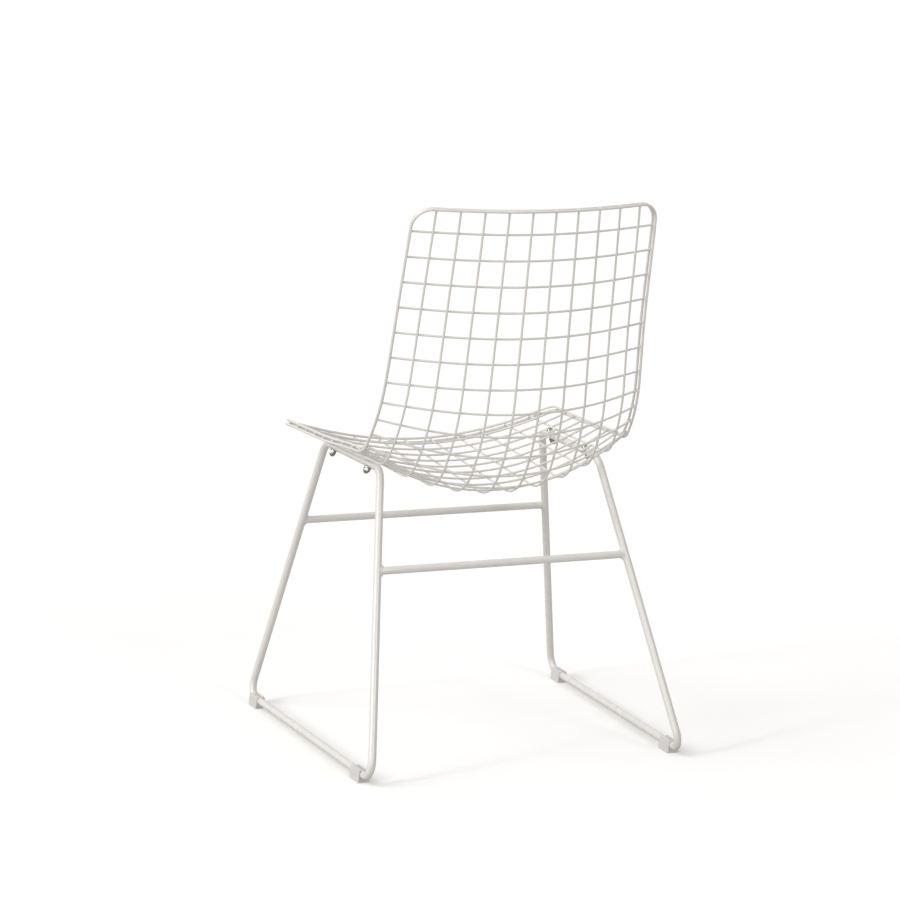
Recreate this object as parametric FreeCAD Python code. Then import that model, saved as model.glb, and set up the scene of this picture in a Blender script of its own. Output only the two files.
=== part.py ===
import FreeCAD, Part
import math
import os

os.makedirs("parts", exist_ok=True)
Vector = FreeCAD.Vector

# Wire mesh dining chair: a dished shell of welded wire, bolted to two closed sled frames.
# Millimetres. +X is the sitter's left, the chair faces -Y, +Z is up, and the feet stand on z = 0.

# Wire and rod
mesh_wire = 3.4
rim_wire = 4.0
frame_rod = 12.0
stretcher_rod = 11.6
weld_sink = 0.3
joint_tolerance = 0.001
cross_steps = 6
corner_steps = 4
section_steps = 3

# Layout of the mesh: long wires run from the top edge to the front edge, cross wires lie over them
long_wires = 10
cross_wires = 21
row_pitch = 39.9
edge_margin = 36.1
wire_overhang = 2.2
corner_radius = 29.0

# Centre line of the shell, seen from the side
back_lean = 13.1
back_straight = 284.3
upper_bend_radius = 300.0
upper_bend_length = 149.2
main_bend_radius = 102.6
seat_rise = 5.1
seat_rear_y = 16.7
seat_rear_height = 405.6

# Spacing of the long wires along the shell, and the edge's distance in spacings
pitch_top = 35.7
pitch_back = 39.0
pitch_bend = 42.9
pitch_front = 44.4
edge_columns_top = 5.40
edge_columns_front = 5.39

# Radius of the dish at the middle of the shell, and how far it straightens towards the sides
dish_top = 510.0
dish_back = 336.0
dish_bend = 321.0
dish_seat = 435.0
dish_front = 600.0
dish_back_at = 230.0
side_ease_top = 0.85
side_ease_back = 0.89
side_ease_bend = 0.44
side_ease_front = 0.44

# Sled frames
leg_splay = 10.1
front_bolt_row = 18
bolt_row_step = 4
bar_column = 4.25
bar_drop = 0.8
bar_ahead = 43.0
bar_behind = 48.0
front_rake = 164.0
rear_rake = 169.0
foot_bend = 22.0
shoulder_bend = 28.0
front_stretcher_height = 321.5
rear_stretcher_height = 302.5

# Mounting plates and fasteners
plate_size = 20.0
plate_thickness = 3.0
plate_corner = 3.0
bolt_diameter = 6.0
bolt_hole_gap = 0.2
drill_margin = 2.0
head_diameter = 10.5
head_height = 3.3
socket_width = 4.0
socket_depth = 2.0
washer_diameter = 12.5
washer_thickness = 1.2
nut_across_flats = 10.0
nut_hex_height = 5.0
nut_dome_radius = 4.6
nut_height = 9.5
thread_gap = 0.05
thread_length = 7.0
thread_end_gap = 0.5
nut_bevel = 0.7

# Clear plastic glides
glide_floor = 6.0
glide_length = 37.0
glide_width = 19.0
glide_rise = 7.5
glide_gap = 0.2
glide_wall = 0.8
glide_slot = 6.0
glide_edge = 1.5
front_glide_start = 21.0
rear_glide_start = 35.0

# Sizes that follow from those above
mesh_r = mesh_wire / 2
rim_r = rim_wire / 2
rod_r = frame_rod / 2
cross_level = mesh_wire - weld_sink
rim_step = mesh_r + rim_r - weld_sink
shell_length = 2 * edge_margin + (cross_wires - 1) * row_pitch
seat_angle = math.radians(90 + seat_rise)
lean = math.radians(back_lean)
upper_turn = upper_bend_length / upper_bend_radius
main_turn = seat_angle - lean - upper_turn
bend_start = back_straight
bend_middle = back_straight + upper_bend_length
bend_end = bend_middle + main_bend_radius * main_turn
bend_halfway = (bend_middle + bend_end) / 2


def smoothCurve(stations, values, s):
    # monotone cubic through the stations, level where the values turn back
    last = len(stations) - 1
    gap = [stations[i + 1] - stations[i] for i in range(last)]
    rise = [(values[i + 1] - values[i]) / gap[i] for i in range(last)]
    slope = [rise[0]]
    for i in range(1, last):
        if rise[i - 1] * rise[i] <= 0:
            slope.append(0.0)
        else:
            before = 2 * gap[i] + gap[i - 1]
            after = gap[i] + 2 * gap[i - 1]
            slope.append((before + after) / (before / rise[i - 1] + after / rise[i]))
    slope.append(rise[-1])
    if s <= stations[0]:
        return values[0] + slope[0] * (s - stations[0])
    if s >= stations[last]:
        return values[last] + slope[last] * (s - stations[last])
    i = max(j for j in range(last) if stations[j] <= s)
    t = (s - stations[i]) / gap[i]
    start = (1 + 2 * t) * (1 - t) ** 2 * values[i] + t * (1 - t) ** 2 * gap[i] * slope[i]
    end = t * t * (3 - 2 * t) * values[i + 1] - t * t * (1 - t) * gap[i] * slope[i + 1]
    return start + end


def columnPitch(s):
    stations = [0.0, dish_back_at, bend_halfway, shell_length]
    return smoothCurve(stations, [pitch_top, pitch_back, pitch_bend, pitch_front], s)


def dishCurvature(s):
    mid_seat = (bend_halfway + shell_length) / 2
    stations = [0.0, dish_back_at, bend_halfway, mid_seat, shell_length]
    radii = [dish_top, dish_back, dish_bend, dish_seat, dish_front]
    return smoothCurve(stations, [1 / radius for radius in radii], s)


def sideEase(s):
    stations = [0.0, dish_back_at, bend_halfway, shell_length]
    return smoothCurve(stations, [side_ease_top, side_ease_back, side_ease_bend, side_ease_front], s)


def section(across, s):
    # walks sideways along the dished section: reach, lift and slope of the point at across
    curvature = dishCurvature(s)
    relief = sideEase(s) / (3 * halfWidth(s) ** 2)
    reach = 0.0
    lift = 0.0
    for i in range(2 * section_steps + 1):
        u = across * i / (2 * section_steps)
        slope = curvature * (u - relief * u ** 3)
        weight = 4 if i % 2 else 2
        if i in (0, 2 * section_steps):
            weight = 1
        reach += weight * math.cos(slope)
        lift += weight * math.sin(slope)
    scale = across / (6 * section_steps)
    return reach * scale, lift * scale, slope


def arcStep(y, z, angle, curvature, length):
    # walks along a stretch of even curvature, angle measured from straight down towards the front
    if abs(curvature) * abs(length) < 1e-9:
        return y - length * math.sin(angle), z - length * math.cos(angle), angle
    turned = angle + curvature * length
    return (y + (math.cos(turned) - math.cos(angle)) / curvature,
            z - (math.sin(turned) - math.sin(angle)) / curvature, turned)


def centreLine(s):
    # starts where the bend meets the seat and walks forward along the seat or back up the bend
    y, z, angle = arcStep(seat_rear_y, seat_rear_height, seat_angle, 0.0, max(s - bend_end, 0.0))
    y, z, angle = arcStep(y, z, angle, 1 / main_bend_radius, clamp(s, bend_middle, bend_end) - bend_end)
    above = clamp(s, bend_start, bend_middle) - bend_middle
    y, z, angle = arcStep(y, z, angle, 1 / upper_bend_radius, above)
    return arcStep(y, z, angle, 0.0, min(s, bend_start) - bend_start)


def clamp(value, low, high):
    return max(low, min(high, value))


def shellPoint(across, s, level):
    # across is measured along the dished section, level is the height over the long wires
    y, z, angle = centreLine(s)
    reach, lift, slope = section(across, s)
    x = reach - level * math.sin(slope)
    lift += level * math.cos(slope)
    return Vector(x, y - lift * math.cos(angle), z + lift * math.sin(angle))


def rowAt(row):
    return edge_margin + row * row_pitch


def halfWidth(s):
    columns = smoothCurve([0.0, shell_length], [edge_columns_top, edge_columns_front], s)
    return columns * columnPitch(s)


def direction(path, t):
    step = 0.001
    return (path(t + step) - path(t - step)).normalize()


def arcEdge(start, tangent, end):
    # the arc that leaves start along tangent and reaches end
    chord = end - start
    along = Vector(chord).normalize()
    aside = tangent - along * tangent.dot(along)
    if aside.Length < 1e-6:
        return Part.LineSegment(start, end).toShape()
    half_turn = math.atan2(aside.Length, tangent.dot(along))
    sagitta = chord.Length / 2 * math.tan(half_turn / 2)
    middle = (start + end) * 0.5 + aside.normalize() * sagitta
    return Part.Arc(start, middle, end).toShape()


def biarc(start, leave, end, arrive):
    # two arcs that meet with one tangent
    gap = end - start
    both = gap.dot(leave + arrive)
    turn = 2 * (1 - leave.dot(arrive))
    if turn < 1e-9:
        reach = gap.dot(gap) / (2 * both)
    else:
        reach = (math.sqrt(both * both + turn * gap.dot(gap)) - both) / turn
    joint = (start + leave * reach + end - arrive * reach) * 0.5
    middle = Vector(joint - start - leave * reach).normalize()
    return [arcEdge(start, leave, joint), arcEdge(joint, middle, end)]


def smoothWire(pieces):
    # each piece is a path over 0..1 and its number of spans
    edges = []
    for path, spans in pieces:
        for i in range(spans):
            first = i / spans
            last = (i + 1) / spans
            edges += biarc(path(first), direction(path, first), path(last), direction(path, last))
    return Part.Wire(edges)


def pipeAlong(wire, radius):
    first = wire.OrderedEdges[0]
    start = first.valueAt(first.FirstParameter)
    tangent = first.tangentAt(first.FirstParameter)
    if first.Orientation == "Reversed":
        start = first.valueAt(first.LastParameter)
        tangent = first.tangentAt(first.LastParameter) * -1
    profile = Part.Wire([Part.Circle(start, tangent, radius).toShape()])
    return wire.makePipeShell([profile], True, False)


def longWire(index):
    column = index - (long_wires - 1) / 2
    stations = [-wire_overhang] + [rowAt(row) for row in range(cross_wires)]
    stations.append(shell_length + wire_overhang)
    pieces = []
    for begin, finish in zip(stations, stations[1:]):
        def path(t, begin=begin, finish=finish):
            s = begin + (finish - begin) * t
            return shellPoint(column * columnPitch(s), s, 0.0)
        pieces.append((path, 1))
    return pipeAlong(smoothWire(pieces), mesh_r)


def crossWire(row):
    s = rowAt(row)
    reach = halfWidth(s) + wire_overhang

    def path(t):
        return shellPoint(reach * (2 * t - 1), s, cross_level)
    return pipeAlong(smoothWire([(path, cross_steps)]), mesh_r)


def rimSide(side, level):
    # down one side, where the cross wires end, between the corners
    def path(t):
        s = corner_radius + (shell_length - 2 * corner_radius) * t
        return shellPoint(side * halfWidth(s), s, cross_level + level)
    return path


def rimCorner(side, edge, level):
    # from the side to the edge, easing from the cross wires' level to the long wires' level
    def path(t):
        turn = math.pi / 2 * t
        inset = corner_radius * (1 - math.sin(turn))
        s = inset if edge == 0 else shell_length - inset
        across = halfWidth(s) - corner_radius * (1 - math.cos(turn))
        ease = clamp(t, 0.0, 1.0)
        drop = cross_level * (1 - ease * ease * (3 - 2 * ease))
        return shellPoint(side * across, s, drop + level)
    return path


def rimEdge(edge, begin, finish, level):
    # along the top or front edge, between fractions of its straight half
    s = 0.0 if edge == 0 else shell_length
    half = halfWidth(s) - corner_radius

    def path(t):
        return shellPoint(half * (begin + (finish - begin) * t), s, level)
    return path


def backwards(path):
    return lambda t: path(1 - t)


def rimWire(level):
    # one closed hoop of eight runs, welded end to end
    front = rimEdge(1, -1, 1, level)
    top = rimEdge(0, 1, -1, level)
    runs = [
        (front, 2 * cross_steps),
        (backwards(rimCorner(1, 1, level)), corner_steps),
        (backwards(rimSide(1, level)), cross_wires + 1),
        (rimCorner(1, 0, level), corner_steps),
        (top, 2 * cross_steps),
        (backwards(rimCorner(-1, 0, level)), corner_steps),
        (rimSide(-1, level), cross_wires + 1),
        (rimCorner(-1, 1, level), corner_steps),
    ]
    lengths = [pipeAlong(smoothWire([run]), rim_r) for run in runs]
    return largestSolid(lengths[0].multiFuse(lengths[1:], joint_tolerance))


def filletLoop(corners, radii):
    # a closed loop of straight runs joined by tangent arcs
    count = len(corners)
    cuts = []
    for i, corner in enumerate(corners):
        before = Vector(corners[i - 1] - corner).normalize()
        after = Vector(corners[(i + 1) % count] - corner).normalize()
        half = math.acos(before.dot(after)) / 2
        tangent_length = radii[i] / math.tan(half)
        bisector = Vector(before + after).normalize()
        middle = corner + bisector * (radii[i] / math.sin(half) - radii[i])
        cuts.append((corner + before * tangent_length, middle, corner + after * tangent_length))
    start = (corners[0] + corners[1]) * 0.5
    edges = [Part.LineSegment(start, cuts[1][0]).toShape()]
    for i in range(1, count + 1):
        arrive, middle, leave = cuts[i % count]
        edges.append(Part.Arc(arrive, middle, leave).toShape())
        following = start if i == count else cuts[(i + 1) % count][0]
        edges.append(Part.LineSegment(leave, following).toShape())
    return Part.Wire(edges)


def boltFrame(bolt_row):
    # the bolt stands in the corner of a cell, beside a cross wire and a long wire;
    # gives the point of the bar's axis under it and the shell's upward direction
    s = rowAt(bolt_row) - plate_size / 2 - mesh_r + weld_sink
    across = bar_column * columnPitch(s)
    seat = shellPoint(across, s, cross_level - mesh_r - bar_drop)
    up = Vector(shellPoint(across, s, 1.0) - shellPoint(across, s, 0.0)).normalize()
    return seat - up * rod_r, up


def barLine():
    # the top bar's axis under the two bolts, and its direction towards the back
    front = boltFrame(front_bolt_row)[0]
    rear = boltFrame(front_bolt_row - bolt_row_step)[0]
    return front, rear, Vector(rear - front).normalize()


def mirrored(point, side):
    return Vector(point.x * side, point.y, point.z)


def legCorners(side):
    # the four corners of the sled frame before its rod is bent round them
    front, rear, along = barLine()
    top_front = front - along * bar_ahead
    top_rear = rear + along * bar_behind
    foot_height = glide_floor + rod_r
    front_foot = framePoint(top_front, along, top_front.y - front_rake, foot_height)
    rear_foot = framePoint(top_front, along, top_rear.y + rear_rake, foot_height)
    return [mirrored(point, side) for point in (front_foot, rear_foot, top_rear, top_front)]


def framePoint(top, along, y, z):
    # a point of the frame's plane, which leans outwards by the splay below the top bar
    lean_out = math.tan(math.radians(leg_splay))
    run = (y - top.y) / along.y
    drop = top.z + along.z * run - z
    return Vector(top.x + along.x * run + lean_out * drop, y, z)


def legFrame(side):
    radii = [foot_bend, foot_bend, shoulder_bend, shoulder_bend]
    frame = pipeAlong(filletLoop(legCorners(side), radii), rod_r)
    for bolt_row in boltRows():
        seat, up = sideBolt(bolt_row, side)
        reach = frame_rod + 2 * drill_margin
        base = seat - up * (frame_rod + drill_margin)
        frame = frame.cut(Part.makeCylinder(bolt_diameter / 2 + bolt_hole_gap, reach, base, up))
    return frame


def boltRows():
    return [front_bolt_row, front_bolt_row - bolt_row_step]


def sideBolt(bolt_row, side):
    # where the plate rests on the bar, and the bolt's direction, square to the bar
    along = barLine()[2]
    centre, up = boltFrame(bolt_row)
    up = Vector(up - along * up.dot(along)).normalize()
    return mirrored(centre + up * rod_r, side), mirrored(up, side)


def stretcher(height, foot_index, top_index, frames):
    ends = []
    for side in (1, -1):
        corners = legCorners(side)
        foot = corners[foot_index]
        top = corners[top_index]
        ends.append(foot + (top - foot) * ((height - foot.z) / (top.z - foot.z)))
    span = ends[1] - ends[0]
    bar = Part.makeCylinder(stretcher_rod / 2, span.Length, ends[0], span)
    for frame in frames:
        bar = bar.cut(frame)
    return largestSolid(bar)


def largestSolid(shape):
    return max(shape.Solids, key=lambda solid: solid.Volume)


def standUpright(shape, place, up, forward):
    # turns a shape built about +Z so that it stands along up at place, +X facing forward
    ahead = Vector(forward - up * forward.dot(up)).normalize()
    aside = up.cross(ahead)
    turn = FreeCAD.Matrix(ahead.x, aside.x, up.x, place.x,
                          ahead.y, aside.y, up.y, place.y,
                          ahead.z, aside.z, up.z, place.z,
                          0, 0, 0, 1)
    placed = shape.copy()
    placed.Placement = FreeCAD.Placement(turn)
    return placed


def seatPlate(bolt_row, wires):
    # the left plate, a flat square welded against the wires beside it
    half = plate_size / 2
    plate = Part.makeBox(plate_size, plate_size, plate_thickness, Vector(-half, -half, 0))
    upright = [edge for edge in plate.Edges if abs(edge.tangentAt(0).z) > 0.9]
    plate = plate.makeFillet(plate_corner, upright)
    plate = plate.cut(Part.makeCylinder(bolt_diameter / 2 + bolt_hole_gap, plate_thickness))
    seat, up = sideBolt(bolt_row, 1)
    plate = standUpright(plate, seat, up, Vector(0, -1, 0))
    return largestSolid(plate.cut(wires, joint_tolerance))


def hexPrism(across_flats, height, base):
    corner = across_flats / math.sqrt(3)
    points = []
    for i in range(7):
        turn = math.radians(60 * i)
        points.append(Vector(corner * math.cos(turn), corner * math.sin(turn), base))
    return Part.Face(Part.makePolygon(points)).extrude(Vector(0, 0, height))


def nutFace():
    return -frame_rod - washer_thickness


def bolt():
    # button head on the plate, shank down through plate, rod and washer into the cap nut
    shank_end = nutFace() - thread_length
    shank = Part.makeCylinder(bolt_diameter / 2, plate_thickness - shank_end, Vector(0, 0, shank_end))
    head_r = head_diameter / 2
    dome_r = (head_r ** 2 + head_height ** 2) / (2 * head_height)
    ball = Part.makeSphere(dome_r, Vector(0, 0, plate_thickness + head_height - dome_r))
    blank = Part.makeCylinder(head_r, head_height, Vector(0, 0, plate_thickness))
    head = ball.common(blank)
    socket = hexPrism(socket_width, socket_depth + 1, plate_thickness + head_height - socket_depth)
    return shank.fuse(head).cut(socket).removeSplitter()


def washer():
    base = Vector(0, 0, nutFace())
    ring = Part.makeCylinder(washer_diameter / 2, washer_thickness, base)
    return ring.cut(Part.makeCylinder(bolt_diameter / 2 + bolt_hole_gap, washer_thickness, base))


def capNut():
    # hexagon against the washer, domed cap below it, blind threaded hole
    face = nutFace()
    hex_base = face - nut_hex_height
    wide = nut_across_flats / math.sqrt(3) + nut_bevel
    cone = Part.makeCone(nut_across_flats / 2 - nut_bevel, wide, 2 * nut_bevel, Vector(0, 0, hex_base))
    barrel = Part.makeCylinder(wide, nut_hex_height, Vector(0, 0, hex_base + 2 * nut_bevel))
    body = hexPrism(nut_across_flats, nut_hex_height, hex_base).common(cone.fuse(barrel))
    dome_centre = face - nut_height + nut_dome_radius
    dome = Part.makeSphere(nut_dome_radius, Vector(0, 0, dome_centre))
    neck = Part.makeCylinder(nut_dome_radius, nut_hex_height / 2, Vector(0, 0, dome_centre))
    depth = thread_length + thread_end_gap
    bore = Part.makeCylinder(bolt_diameter / 2 + thread_gap, depth, Vector(0, 0, face - depth))
    return body.fuse(dome).fuse(neck).removeSplitter().cut(bore)


def atEveryBolt(shape):
    placed = []
    for side in (1, -1):
        for bolt_row in boltRows():
            seat, up = sideBolt(bolt_row, side)
            placed.append(standUpright(shape, seat, up, Vector(0, -1, 0)))
    return Part.makeCompound(placed)


def taperedBlock(start, length, foot_half, top_half, height):
    # runs along +X from start, narrower above than below
    outline = [Vector(start, -foot_half, 0), Vector(start, foot_half, 0),
               Vector(start, top_half, height), Vector(start, -top_half, height)]
    return Part.Face(Part.makePolygon(outline + outline[:1])).extrude(Vector(length, 0, 0))


def glide(end):
    # the left clip around the rod beside its bend, wide and flat on the floor and slotted along its top
    corners = legCorners(1)
    foot = corners[0] if end == "front" else corners[1]
    other = corners[1] if end == "front" else corners[0]
    inward = Vector(other - foot).normalize()
    start = front_glide_start if end == "front" else rear_glide_start
    height = glide_floor + rod_r + glide_rise
    top_half = rod_r + glide_gap + glide_wall
    block = taperedBlock(start, glide_length, glide_width / 2, top_half, height)
    rounded = [edge for edge in block.Edges if edge.BoundBox.ZMax > glide_floor]
    block = block.makeFillet(glide_edge, rounded)
    slot_corner = Vector(start, -glide_slot / 2, glide_floor + rod_r)
    slot = Part.makeBox(glide_length, glide_slot, height, slot_corner)
    block = standUpright(block.cut(slot), Vector(foot.x, foot.y, 0), Vector(0, 0, 1), inward)
    radii = [foot_bend, foot_bend, shoulder_bend, shoulder_bend]
    channel = pipeAlong(filletLoop(corners, radii), rod_r + glide_gap)
    return largestSolid(block.cut(channel))


def buildNodes():
    nodes = {}
    for index in range(long_wires):
        nodes["long_wire_%02d" % (index + 1)] = longWire(index)
    for row in range(cross_wires):
        nodes["cross_wire_%02d" % (row + 1)] = crossWire(row)
    nodes["rim_wire_inner"] = rimWire(rim_step)
    nodes["rim_wire_outer"] = rimWire(-rim_step)
    left = legFrame(1)
    right = legFrame(-1)
    nodes["left_leg_frame"] = left
    nodes["right_leg_frame"] = right
    nodes["front_stretcher"] = stretcher(front_stretcher_height, 0, 3, [left, right])
    nodes["rear_stretcher"] = stretcher(rear_stretcher_height, 1, 2, [left, right])
    for bolt_row, end in zip(boltRows(), ("front", "rear")):
        wires = [nodes["long_wire_%02d" % long_wires], nodes["cross_wire_%02d" % (bolt_row + 1)]]
        for kind, shape in (("seat_plate", seatPlate(bolt_row, wires)), ("glide", glide(end))):
            nodes["%s_%s_left" % (kind, end)] = shape
            nodes["%s_%s_right" % (kind, end)] = shape.mirror(Vector(0, 0, 0), Vector(1, 0, 0))
    nodes["mounting_bolts"] = atEveryBolt(bolt())
    nodes["mounting_washers"] = atEveryBolt(washer())
    nodes["cap_nuts"] = atEveryBolt(capNut())
    return nodes


def centred(nodes):
    # moves the whole chair so that its outline is centred over the origin, front to back
    box = FreeCAD.BoundBox()
    for shape in nodes.values():
        box.add(shape.optimalBoundingBox(False, False))
    shift = Vector(0, -(box.YMin + box.YMax) / 2, 0)
    for shape in nodes.values():
        shape.translate(shift)
    size = [round(length, 2) for length in (box.XLength, box.YLength, box.ZLength)]
    print("shift", round(shift.y, 3), "size", size)
    return nodes


for name, shape in centred(buildNodes()).items():
    shape.exportStep("parts/%s.step" % name)
    print(name, "solids", len(shape.Solids), "valid", shape.isValid(), "volume", round(shape.Volume, 1))
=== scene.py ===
import bpy
import bmesh
import math
from mathutils import Matrix, Vector


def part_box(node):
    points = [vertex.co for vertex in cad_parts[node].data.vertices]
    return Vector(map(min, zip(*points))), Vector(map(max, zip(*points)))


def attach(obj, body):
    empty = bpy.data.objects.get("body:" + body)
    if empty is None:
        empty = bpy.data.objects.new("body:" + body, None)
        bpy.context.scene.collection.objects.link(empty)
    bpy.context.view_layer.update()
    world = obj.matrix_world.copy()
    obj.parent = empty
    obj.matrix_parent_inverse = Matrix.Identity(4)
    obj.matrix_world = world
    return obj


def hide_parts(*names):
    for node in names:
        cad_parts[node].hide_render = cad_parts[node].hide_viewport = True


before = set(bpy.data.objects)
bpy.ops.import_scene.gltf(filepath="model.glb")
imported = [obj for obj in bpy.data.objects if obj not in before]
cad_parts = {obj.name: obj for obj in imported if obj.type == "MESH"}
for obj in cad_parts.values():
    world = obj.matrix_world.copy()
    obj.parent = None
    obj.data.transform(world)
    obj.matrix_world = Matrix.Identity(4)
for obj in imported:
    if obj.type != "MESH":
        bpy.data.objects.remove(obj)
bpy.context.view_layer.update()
print("frame loaded:", len(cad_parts), "nodes")

millimetre = 0.001
root = "root"
scene = bpy.context.scene


# sizes that every piece of the chair shares

chair = {
    "meshWire": 3.4,
    "rimWire": 4.0,
    "frameRod": 12.0,
    "stretcherRod": 11.6,
    "weldSink": 0.3,
}

shell = {
    "longWires": 10,
    "crossWires": 21,
    "rowPitch": 39.9,
    "edgeMargin": 36.1,
    "wireOverhang": 2.2,
    "cornerRadius": 29.0,
    "backLean": 13.1,
    "backStraight": 284.3,
    "upperBendRadius": 300.0,
    "upperBendLength": 149.2,
    "mainBendRadius": 102.6,
    "seatRise": 5.1,
    "seatRear": (16.7, 405.6),
    "pitch": (35.7, 39.0, 42.9, 44.4),
    "edgeColumns": (5.40, 5.39),
    "dishRadius": (510.0, 336.0, 321.0, 435.0, 600.0),
    "dishBackAt": 230.0,
    "sideEase": (0.85, 0.89, 0.44, 0.44),
}

sled = {
    "splay": 10.1,
    "frontBoltRow": 18,
    "boltRowStep": 4,
    "barColumn": 4.25,
    "barDrop": 0.8,
    "barAhead": 43.0,
    "barBehind": 48.0,
    "frontRake": 164.0,
    "rearRake": 169.0,
    "footBend": 22.0,
    "shoulderBend": 28.0,
    "frontStretcherHeight": 321.5,
    "rearStretcherHeight": 302.5,
    "glideFloor": 6.0,
    "plateSize": 20.0,
    "plateThickness": 3.0,
}

meshRadius = chair["meshWire"] / 2
rimRadius = chair["rimWire"] / 2
rodRadius = chair["frameRod"] / 2
crossLevel = chair["meshWire"] - chair["weldSink"]
rimStep = meshRadius + rimRadius - chair["weldSink"]
shellLength = 2 * shell["edgeMargin"] + (shell["crossWires"] - 1) * shell["rowPitch"]
seatAngle = math.radians(90 + shell["seatRise"])
leanAngle = math.radians(shell["backLean"])
bendStart = shell["backStraight"]
bendMiddle = bendStart + shell["upperBendLength"]
mainTurn = seatAngle - leanAngle - shell["upperBendLength"] / shell["upperBendRadius"]
bendEnd = bendMiddle + shell["mainBendRadius"] * mainTurn
bendHalfway = (bendMiddle + bendEnd) / 2


# the dished surface that the wires lie on, in millimetres

def clamp(value, low, high):
    return max(low, min(high, value))


def smoothCurve(stations, values, s):
    # monotone cubic through the stations
    last = len(stations) - 1
    gap = [stations[i + 1] - stations[i] for i in range(last)]
    rise = [(values[i + 1] - values[i]) / gap[i] for i in range(last)]
    slope = [rise[0]]
    for i in range(1, last):
        if rise[i - 1] * rise[i] <= 0:
            slope.append(0.0)
        else:
            before = 2 * gap[i] + gap[i - 1]
            after = gap[i] + 2 * gap[i - 1]
            slope.append((before + after) / (before / rise[i - 1] + after / rise[i]))
    slope.append(rise[-1])
    if s <= stations[0]:
        return values[0] + slope[0] * (s - stations[0])
    if s >= stations[last]:
        return values[last] + slope[last] * (s - stations[last])
    i = max(j for j in range(last) if stations[j] <= s)
    t = (s - stations[i]) / gap[i]
    start = (1 + 2 * t) * (1 - t) ** 2 * values[i] + t * (1 - t) ** 2 * gap[i] * slope[i]
    end = t * t * (3 - 2 * t) * values[i + 1] - t * t * (1 - t) * gap[i] * slope[i + 1]
    return start + end


def columnPitch(s):
    return smoothCurve([0.0, shell["dishBackAt"], bendHalfway, shellLength], shell["pitch"], s)


def halfWidth(s):
    return smoothCurve([0.0, shellLength], shell["edgeColumns"], s) * columnPitch(s)


def dishCurvature(s):
    stations = [0.0, shell["dishBackAt"], bendHalfway, (bendHalfway + shellLength) / 2, shellLength]
    return smoothCurve(stations, [1 / radius for radius in shell["dishRadius"]], s)


def sideEase(s):
    return smoothCurve([0.0, shell["dishBackAt"], bendHalfway, shellLength], shell["sideEase"], s)


def section(across, s):
    # reach, lift and slope at a distance across the dish, by Simpson's rule
    curvature = dishCurvature(s)
    relief = sideEase(s) / (3 * halfWidth(s) ** 2)
    steps = 6
    reach = 0.0
    lift = 0.0
    for i in range(steps + 1):
        u = across * i / steps
        slope = curvature * (u - relief * u ** 3)
        weight = 1 if i in (0, steps) else 4 if i % 2 else 2
        reach += weight * math.cos(slope)
        lift += weight * math.sin(slope)
    return reach * across / (3 * steps), lift * across / (3 * steps), slope


def arcStep(y, z, angle, curvature, length):
    # goes on along an arc of the centre line, or straight on where it hardly turns
    leastTurn = 1e-9
    if abs(curvature * length) < leastTurn:
        return y - length * math.sin(angle), z - length * math.cos(angle), angle
    turned = angle + curvature * length
    return (y + (math.cos(turned) - math.cos(angle)) / curvature,
            z - (math.sin(turned) - math.sin(angle)) / curvature, turned)


def centreLine(s):
    y, z, angle = arcStep(*shell["seatRear"], seatAngle, 0.0, max(s - bendEnd, 0.0))
    y, z, angle = arcStep(y, z, angle, 1 / shell["mainBendRadius"], clamp(s, bendMiddle, bendEnd) - bendEnd)
    above = clamp(s, bendStart, bendMiddle) - bendMiddle
    y, z, angle = arcStep(y, z, angle, 1 / shell["upperBendRadius"], above)
    return arcStep(y, z, angle, 0.0, min(s, bendStart) - bendStart)


def shellPoint(across, s, level):
    y, z, angle = centreLine(s)
    reach, lift, slope = section(across, s)
    x = reach - level * math.sin(slope)
    lift += level * math.cos(slope)
    return Vector((x, y - lift * math.cos(angle), z + lift * math.sin(angle)))


def shellUp(across, s):
    return (shellPoint(across, s, 1.0) - shellPoint(across, s, 0.0)).normalized()


def rowAt(row):
    return shell["edgeMargin"] + row * shell["rowPitch"]


def columnAt(index, s):
    return (index - (shell["longWires"] - 1) / 2) * columnPitch(s)


def findShift():
    # the chair stands centred over its origin, so the surface is slid along to meet one cross wire
    row = 12
    steps = 20
    s = rowAt(row)
    ys = [shellPoint(halfWidth(s) * k / steps, s, crossLevel).y for k in range(steps + 1)]
    low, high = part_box("cross_wire_%02d" % (row + 1))
    return (low.y + high.y) / 2 / millimetre - (min(ys) + max(ys)) / 2


shift = findShift()
print("shell slides along by %.2f mm" % shift)


def place(point):
    # from the shell's own millimetres to the frame's metres
    return Vector((point.x, point.y + shift, point.z)) * millimetre


# node trees: a tube along a path, and a shape repeated on points

def newTree(name, sockets):
    tree = bpy.data.node_groups.new(name, "GeometryNodeTree")
    tree.interface.new_socket(name="Geometry", in_out="INPUT", socket_type="NodeSocketGeometry")
    for label, kind, value in sockets:
        socket = tree.interface.new_socket(name=label, in_out="INPUT", socket_type=kind)
        if value is not None:
            socket.default_value = value
    tree.interface.new_socket(name="Geometry", in_out="OUTPUT", socket_type="NodeSocketGeometry")
    return tree


def addNode(tree, kind, links=(), **settings):
    node = tree.nodes.new(kind)
    for key, value in settings.items():
        setattr(node, key, value)
    for socket, source in dict(links).items():
        if hasattr(source, "node"):
            tree.links.new(source, node.inputs[socket])
        else:
            node.inputs[socket].default_value = source
    return node


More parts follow.
